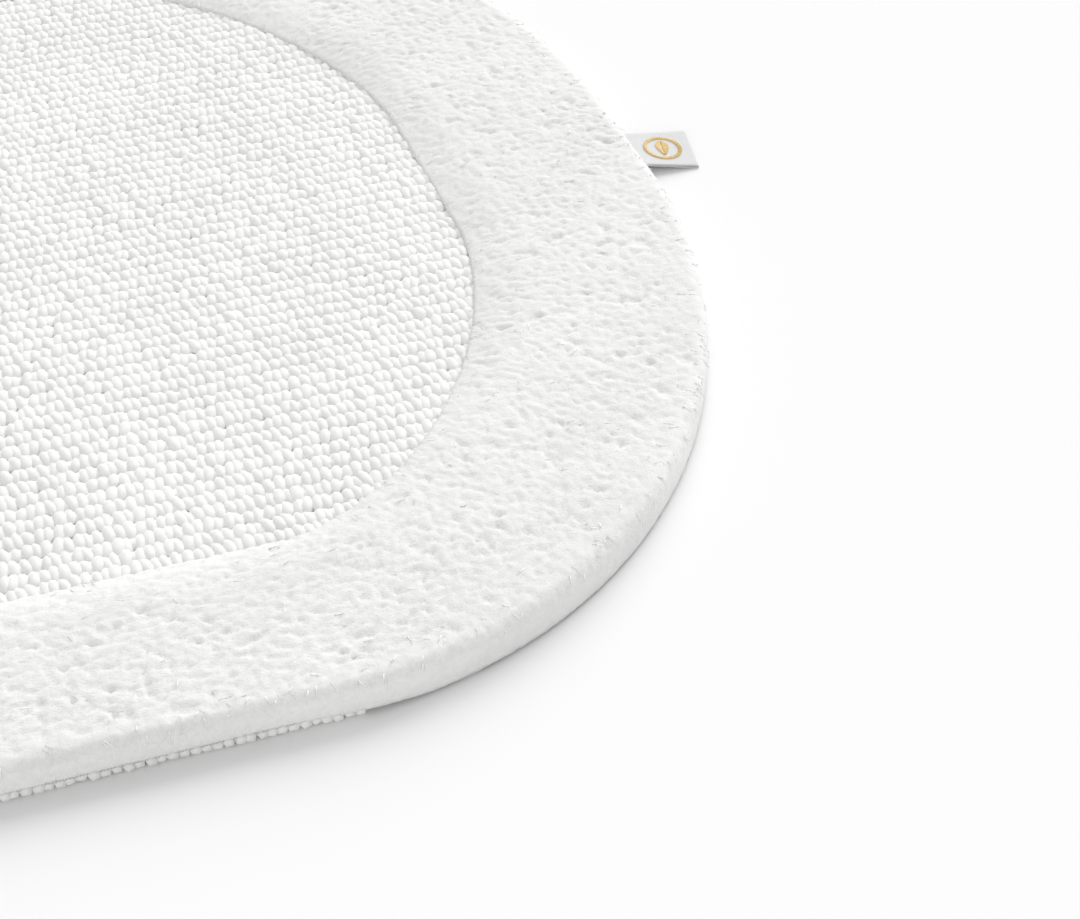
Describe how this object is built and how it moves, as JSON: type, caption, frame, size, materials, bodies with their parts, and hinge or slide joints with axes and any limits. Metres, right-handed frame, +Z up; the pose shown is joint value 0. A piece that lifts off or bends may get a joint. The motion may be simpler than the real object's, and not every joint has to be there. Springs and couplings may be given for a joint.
{
  "type": "bath mat",
  "caption": "Rounded tufted cotton bath mat: looped field sunk inside a raised cut-pile border, rows of back stitches beneath, folded ribbon label at one end.",
  "frame": {"origin": "centre of the mat's outline, on the surface it lies on", "axes": "+X along the mat's length towards the end with the label, +Y across the mat, +Z up through the pile"},
  "size_m": [1.0277, 0.6, 0.015],
  "materials": {
    "base_cloth": "plain woven cotton canvas, unbleached, mostly hidden",
    "stitch_yarn": "soft plied cotton yarn, matte, laid flat in chunky stitches",
    "loop_yarn": "soft plied cotton yarn, matte, in rounded loops",
    "pile_yarn": "cut cotton pile, plush and matte, slightly clumped",
    "ribbon": "fine woven satin ribbon, soft sheen",
    "sewing_thread": "white polyester sewing thread",
    "gold_thread": "ochre gold embroidery thread, satin stitched, soft sheen"
  },
  "bodies": {
    "mat": {"back_stitches_01": "stitch_yarn", "back_stitches_02": "stitch_yarn", "back_stitches_03": "stitch_yarn", "back_stitches_04": "stitch_yarn", "back_stitches_05": "stitch_yarn", "back_stitches_06": "stitch_yarn", "back_stitches_07": "stitch_yarn", "back_stitches_08": "stitch_yarn", "back_stitches_09": "stitch_yarn", "back_stitches_10": "stitch_yarn", "back_stitches_11": "stitch_yarn", "back_stitches_12": "stitch_yarn", "back_stitches_13": "stitch_yarn", "back_stitches_14": "stitch_yarn", "back_stitches_15": "stitch_yarn", "back_stitches_16": "stitch_yarn", "back_stitches_17": "stitch_yarn", "back_stitches_18": "stitch_yarn", "back_stitches_19": "stitch_yarn", "back_stitches_20": "stitch_yarn", "back_stitches_21": "stitch_yarn", "back_stitches_22": "stitch_yarn", "back_stitches_23": "stitch_yarn", "back_stitches_24": "stitch_yarn", "back_stitches_25": "stitch_yarn", "back_stitches_26": "stitch_yarn", "back_stitches_27": "stitch_yarn", "back_stitches_28": "stitch_yarn", "base_cloth": "base_cloth", "field_loops_01": "loop_yarn", "field_loops_02": "loop_yarn", "field_loops_03": "loop_yarn", "field_loops_04": "loop_yarn", "field_loops_05": "loop_yarn", "field_loops_06": "loop_yarn", "field_loops_07": "loop_yarn", "field_loops_08": "loop_yarn", "field_loops_09": "loop_yarn", "field_loops_10": "loop_yarn", "field_loops_11": "loop_yarn", "field_loops_12": "loop_yarn", "field_loops_13": "loop_yarn", "field_loops_14": "loop_yarn", "field_loops_15": "loop_yarn", "field_loops_16": "loop_yarn", "field_loops_17": "loop_yarn", "field_loops_18": "loop_yarn", "field_loops_19": "loop_yarn", "field_loops_20": "loop_yarn", "border_cut_pile": "pile_yarn", "label_tail": "ribbon", "label_seam": "sewing_thread"},
    "label": {"label_flap": "ribbon", "motif_ring": "gold_thread", "motif_leaf": "gold_thread"}
  },
  "joints": [
    {"name": "label_bend", "type": "hinge", "parent": "mat", "child": "label", "pos_m": [0.502, -0.002, 0.0049], "axis": [0, -1, 0], "range_deg": [-81, 98]}
  ]
}
